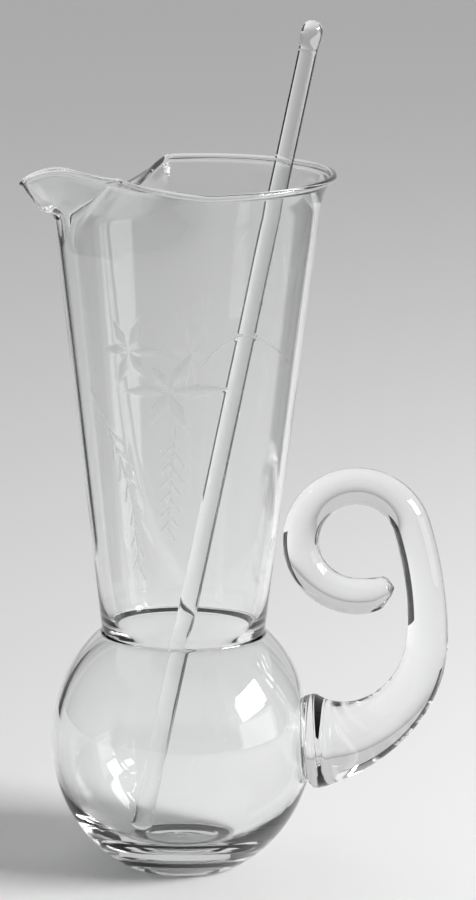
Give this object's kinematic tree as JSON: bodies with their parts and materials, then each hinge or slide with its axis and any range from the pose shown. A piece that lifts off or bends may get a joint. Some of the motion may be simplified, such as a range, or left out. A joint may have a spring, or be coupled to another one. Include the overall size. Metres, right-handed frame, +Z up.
{
  "type": "cocktail pitcher",
  "caption": "Clear blown-glass cocktail pitcher with a round bulb, tall flaring neck, pinched pouring beak, curled cane handle and a loose glass stirring rod.",
  "frame": {"origin": "centre of the flat foot, on the table", "axes": "+Z up the pitcher's axis, +X from the axis towards the handle, the beak points 15 degrees past -X towards -Y"},
  "size_m": [0.1626, 0.1111, 0.3223],
  "materials": {
    "bulb": "clear blown glass, fire polished, foot ground flat",
    "neck": "clear blown glass, fire polished, with shallow wheel-cut flowers and fronds",
    "handle": "clear solid glass cane, fire polished, tail sheared off",
    "stir_rod": "clear solid glass cane, fire polished"
  },
  "bodies": {
    "vessel": {"bulb": "bulb", "neck": "neck", "handle": "handle"},
    "stir_rod": {"stir_rod": "stir_rod"}
  },
  "joints": [
    {"name": "rod_lift", "type": "slide", "parent": "vessel", "child": "stir_rod", "axis": [0, 0, 1], "range_m": [0, 0.29]}
  ]
}
